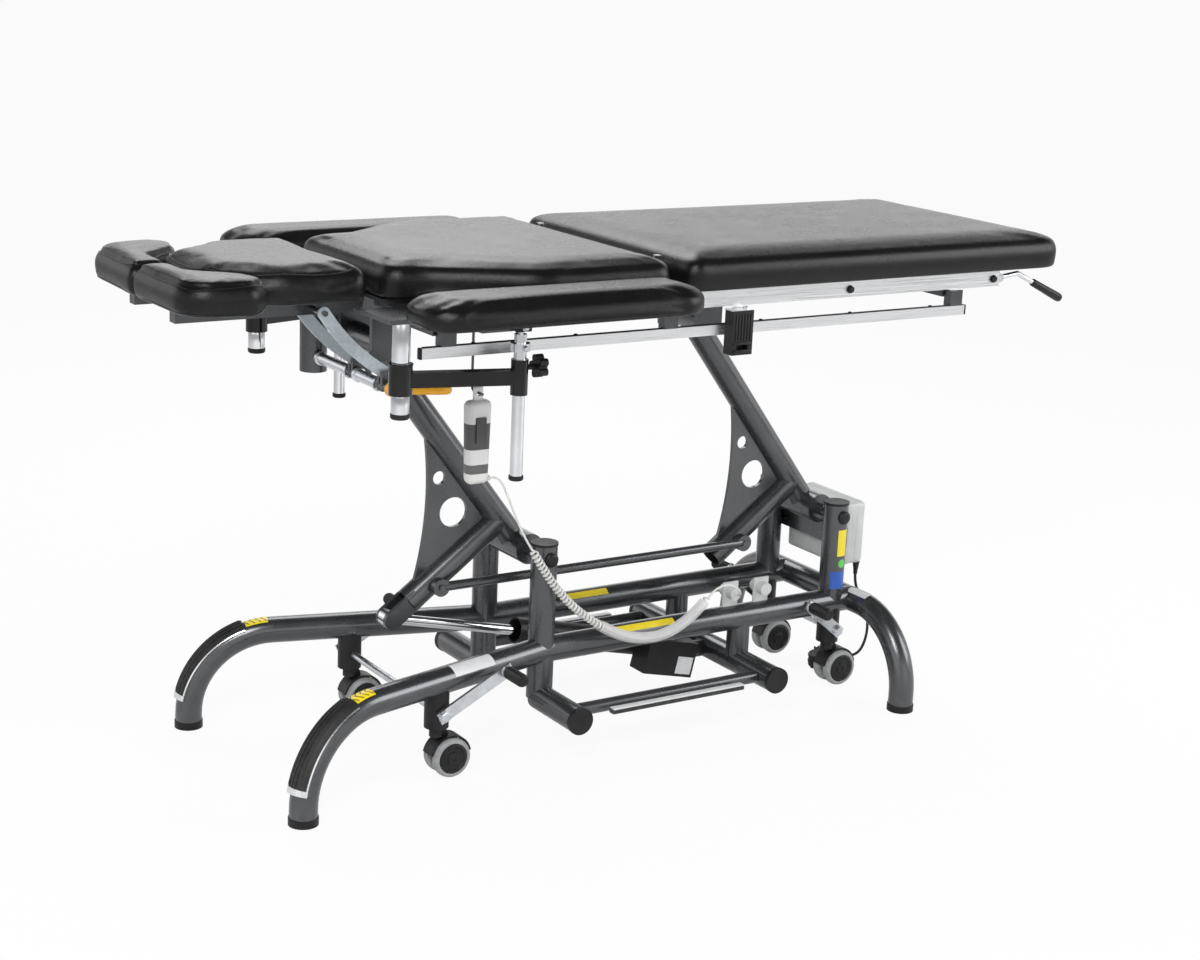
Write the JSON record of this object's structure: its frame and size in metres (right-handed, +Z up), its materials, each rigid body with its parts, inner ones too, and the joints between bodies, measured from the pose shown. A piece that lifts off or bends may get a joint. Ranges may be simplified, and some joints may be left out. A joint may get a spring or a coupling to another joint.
{
  "type": "treatment table",
  "caption": "Height-adjustable treatment table: padded head, chest and lumbar sections, swinging armrests, parallel-arm motor lift, splayed tube base, drop-down casters.",
  "frame": {"origin": "on the floor, midway between the four posts of the base", "axes": "+X towards the foot end, +Y towards the far side, away from the hand switch, +Z up"},
  "size_m": [1.9008, 0.924, 0.966],
  "materials": {
    "frame_paint": "satin",
    "black_plastic": "satin",
    "black_rubber": "matte",
    "vinyl": "satin",
    "zinc": "satin",
    "chrome": "polished",
    "rail_aluminium": "satin",
    "grey_plastic": "satin",
    "grey_tyre": "satin",
    "white_plastic": "satin",
    "yellow_plastic": "satin"
  },
  "bodies": {
    "base": {"foot_cross_tube": "frame_paint", "near_side_rail": "frame_paint", "far_side_rail": "frame_paint", "head_posts": "frame_paint", "foot_posts": "frame_paint", "caps_and_floor_pads": "black_plastic", "tread_pads": "black_rubber", "caster_housings": "black_plastic", "control_box": "grey_plastic", "cable_connectors": "grey_plastic", "curly_cord": "white_plastic", "mains_lead": "black_rubber", "mains_coil": "black_rubber", "mains_plug": "black_rubber"},
    "head_arm": {"head_lift_arm": "frame_paint"},
    "foot_arm": {"foot_lift_arm": "frame_paint"},
    "link": {"link_rod": "frame_paint"},
    "motor_unit": {"actuator_motor_unit": "black_plastic"},
    "push_rod": {"actuator_rod": "chrome"},
    "top": {"top_frame": "frame_paint", "side_rails": "rail_aluminium", "rail_brackets": "black_plastic", "thoracic_deck": "frame_paint", "thoracic_cushion": "vinyl", "hand_switch": "white_plastic"},
    "rocker": {"switch_rocker": "grey_plastic"},
    "head_section": {"head_frame": "frame_paint", "head_cushion": "vinyl", "face_pads": "vinyl"},
    "struts": {"tilt_struts": "zinc"},
    "handle": {"tilt_handle": "yellow_plastic"},
    "lumbar": {"lumbar_frame": "zinc", "lumbar_cushion": "vinyl"},
    "spring_barrel": {"gas_spring_barrel": "zinc"},
    "spring_rod": {"gas_spring_rod": "chrome"},
    "release": {"release_lever": "zinc"},
    "near_treadle": {"near_foot_treadle": "frame_paint"},
    "far_treadle": {"far_foot_treadle": "frame_paint"},
    "head_lever": {"head_caster_lever": "zinc"},
    "foot_lever": {"foot_caster_lever": "zinc"},
    "head_stems": {"head_caster_stems": "zinc"},
    "foot_stems": {"foot_caster_stems": "zinc"},
    "near_swing": {"near_swing_arm": "black_plastic"},
    "near_post": {"near_arm_post": "chrome"},
    "near_pad": {"near_pad_bracket": "black_plastic", "near_arm_pad": "vinyl"},
    "near_knob": {"near_clamp_knob": "black_plastic"},
    "far_swing": {"far_swing_arm": "black_plastic"},
    "far_post": {"far_arm_post": "chrome"},
    "far_pad": {"far_pad_bracket": "black_plastic", "far_arm_pad": "vinyl"},
    "far_knob": {"far_clamp_knob": "black_plastic"},
    "near_head_fork": {"near_head_caster_fork": "black_plastic"},
    "near_head_wheels": {"near_head_caster_wheels": "grey_tyre"},
    "far_head_fork": {"far_head_caster_fork": "black_plastic"},
    "far_head_wheels": {"far_head_caster_wheels": "grey_tyre"},
    "near_foot_fork": {"near_foot_caster_fork": "black_plastic"},
    "near_foot_wheels": {"near_foot_caster_wheels": "grey_tyre"},
    "far_foot_fork": {"far_foot_caster_fork": "black_plastic"},
    "far_foot_wheels": {"far_foot_caster_wheels": "grey_tyre"}
  },
  "joints": [
    {"name": "head_lift", "type": "hinge", "parent": "base", "child": "head_arm", "pos_m": [-0.352, 0, 0.372], "axis": [0, -1, 0], "range_deg": [0, 54], "deforming": ["curly_cord"]},
    {"name": "foot_lift", "type": "hinge", "parent": "base", "child": "foot_arm", "pos_m": [0.352, 0, 0.372], "axis": [0, -1, 0], "range_deg": [0, 54]},
    {"name": "top_level", "type": "hinge", "parent": "head_arm", "child": "top", "pos_m": [-0.67148, 0, 0.78986], "axis": [0, -1, 0], "range_deg": [-54, 0]},
    {"name": "link_turn", "type": "hinge", "parent": "head_arm", "child": "link", "pos_m": [-0.536, -0.04, 0.316], "axis": [0, -1, 0], "range_deg": [-54, 0]},
    {"name": "actuator_swing", "type": "hinge", "parent": "base", "child": "motor_unit", "pos_m": [0.073, 0, 0.092], "axis": [0, -1, 0], "range_deg": [0, 15.1]},
    {"name": "push_rod_turn", "type": "hinge", "parent": "head_arm", "child": "push_rod", "pos_m": [-0.622, 0, 0.255], "axis": [0, -1, 0], "range_deg": [-39, 0]},
    {"name": "lumbar_raise", "type": "hinge", "parent": "top", "child": "lumbar", "pos_m": [-0.1945, 0, 0.948], "axis": [0, -1, 0], "range_deg": [0, 45]},
    {"name": "spring_swing", "type": "hinge", "parent": "top", "child": "spring_barrel", "pos_m": [-0.15, 0.15, 0.82], "axis": [0, -1, 0], "range_deg": [0, 44.3]},
    {"name": "spring_rod_turn", "type": "hinge", "parent": "lumbar", "child": "spring_rod", "pos_m": [0.25, 0.15, 0.85], "axis": [0, -1, 0], "range_deg": [-1, 0]},
    {"name": "release_press", "type": "hinge", "parent": "lumbar", "child": "release", "pos_m": [0.6, -0.262, 0.878], "axis": [0, 1, 0], "range_deg": [0, 12], "stiffness_Nm_per_rad": 2, "springref_deg": -17.19},
    {"name": "head_tilt", "type": "hinge", "parent": "top", "child": "head_section", "pos_m": [-0.747, 0, 0.878], "axis": [0, -1, 0], "range_deg": [-10, 40]},
    {"name": "strut_turn", "type": "hinge", "parent": "head_section", "child": "struts", "pos_m": [-0.836, -0.093, 0.877], "axis": [0, -1, 0], "range_deg": [-22.7, 5.9]},
    {"name": "tilt_clamp", "type": "hinge", "parent": "top", "child": "handle", "pos_m": [-0.72, -0.186, 0.741], "axis": [0, 1, 0], "range_deg": [0, 60]},
    {"name": "rocker_tip", "type": "hinge", "parent": "top", "child": "rocker", "pos_m": [-0.53, -0.163, 0.6465], "axis": [1, 0, 0], "range_deg": [-5, 5], "stiffness_Nm_per_rad": 0.1},
    {"name": "near_arm_swing", "type": "hinge", "parent": "top", "child": "near_swing", "pos_m": [-0.762, -0.292, 0.7845], "axis": [0, 0, 1], "range_deg": [-100, 0]},
    {"name": "near_arm_height", "type": "slide", "parent": "near_swing", "child": "near_post", "axis": [0, 0, 1], "range_m": [-0.012, 0.14]},
    {"name": "near_pad_tilt", "type": "hinge", "parent": "near_post", "child": "near_pad", "pos_m": [-0.562, -0.344, 0.872], "axis": [0, 1, 0], "range_deg": [-15, 15]},
    {"name": "near_knob_turn", "type": "hinge", "parent": "near_swing", "child": "near_knob", "pos_m": [-0.562, -0.344, 0.8], "axis": [1, 0, 0], "continuous": true},
    {"name": "near_treadle_tip", "type": "hinge", "parent": "base", "child": "near_treadle", "pos_m": [-0.117, -0.206, 0.092], "axis": [1, 0, 0], "range_deg": [-8, 8], "stiffness_Nm_per_rad": 40},
    {"name": "far_arm_swing", "type": "hinge", "parent": "top", "child": "far_swing", "pos_m": [-0.762, 0.292, 0.7845], "axis": [0, 0, 1], "range_deg": [0, 100]},
    {"name": "far_arm_height", "type": "slide", "parent": "far_swing", "child": "far_post", "axis": [0, 0, 1], "range_m": [-0.012, 0.14]},
    {"name": "far_pad_tilt", "type": "hinge", "parent": "far_post", "child": "far_pad", "pos_m": [-0.562, 0.344, 0.872], "axis": [0, 1, 0], "range_deg": [-15, 15]},
    {"name": "far_knob_turn", "type": "hinge", "parent": "far_swing", "child": "far_knob", "pos_m": [-0.562, 0.344, 0.8], "axis": [1, 0, 0], "continuous": true},
    {"name": "far_treadle_tip", "type": "hinge", "parent": "base", "child": "far_treadle", "pos_m": [-0.117, 0.206, 0.092], "axis": [1, 0, 0], "range_deg": [-8, 8], "stiffness_Nm_per_rad": 40},
    {"name": "head_caster_press", "type": "hinge", "parent": "base", "child": "head_lever", "pos_m": [-0.614, 0, 0.13], "axis": [0, 1, 0], "range_deg": [0, 60]},
    {"name": "head_stem_slide", "type": "slide", "parent": "base", "child": "head_stems", "axis": [0, 0, -1], "range_m": [0, 0.007]},
    {"name": "near_head_swivel", "type": "hinge", "parent": "head_stems", "child": "near_head_fork", "pos_m": [-0.614, -0.17809, 0.09], "axis": [0, 0, 1], "continuous": true},
    {"name": "near_head_roll", "type": "hinge", "parent": "near_head_fork", "child": "near_head_wheels", "pos_m": [-0.59, -0.17809, 0.0405], "axis": [0, 1, 0], "continuous": true},
    {"name": "far_head_swivel", "type": "hinge", "parent": "head_stems", "child": "far_head_fork", "pos_m": [-0.614, 0.17809, 0.09], "axis": [0, 0, 1], "continuous": true},
    {"name": "far_head_roll", "type": "hinge", "parent": "far_head_fork", "child": "far_head_wheels", "pos_m": [-0.59, 0.17809, 0.0405], "axis": [0, 1, 0], "continuous": true},
    {"name": "foot_caster_press", "type": "hinge", "parent": "base", "child": "foot_lever", "pos_m": [0.352, 0, 0.13], "axis": [0, -1, 0], "range_deg": [0, 60]},
    {"name": "foot_stem_slide", "type": "slide", "parent": "base", "child": "foot_stems", "axis": [0, 0, -1], "range_m": [0, 0.007]},
    {"name": "near_foot_swivel", "type": "hinge", "parent": "foot_stems", "child": "near_foot_fork", "pos_m": [0.352, -0.109, 0.09], "axis": [0, 0, 1], "continuous": true},
    {"name": "near_foot_roll", "type": "hinge", "parent": "near_foot_fork", "child": "near_foot_wheels", "pos_m": [0.376, -0.109, 0.0405], "axis": [0, 1, 0], "continuous": true},
    {"name": "far_foot_swivel", "type": "hinge", "parent": "foot_stems", "child": "far_foot_fork", "pos_m": [0.352, 0.109, 0.09], "axis": [0, 0, 1], "continuous": true},
    {"name": "far_foot_roll", "type": "hinge", "parent": "far_foot_fork", "child": "far_foot_wheels", "pos_m": [0.376, 0.109, 0.0405], "axis": [0, 1, 0], "continuous": true}
  ],
  "couplings": [
    {"joint": "foot_lift", "follows": "head_lift", "ratio": 1},
    {"joint": "top_level", "follows": "head_lift", "ratio": -1},
    {"joint": "link_turn", "follows": "head_lift", "ratio": -1},
    {"joint": "actuator_swing", "follows": "head_lift", "ratio": 0.279},
    {"joint": "push_rod_turn", "follows": "head_lift", "ratio": -0.721},
    {"joint": "spring_swing", "follows": "lumbar_raise", "ratio": 0.982},
    {"joint": "spring_rod_turn", "follows": "lumbar_raise", "ratio": -0.018},
    {"joint": "strut_turn", "follows": "head_tilt", "ratio": -0.56},
    {"joint": "head_stem_slide", "follows": "head_caster_press", "m_per_rad": 0.00662},
    {"joint": "foot_stem_slide", "follows": "foot_caster_press", "m_per_rad": 0.00662}
  ]
}
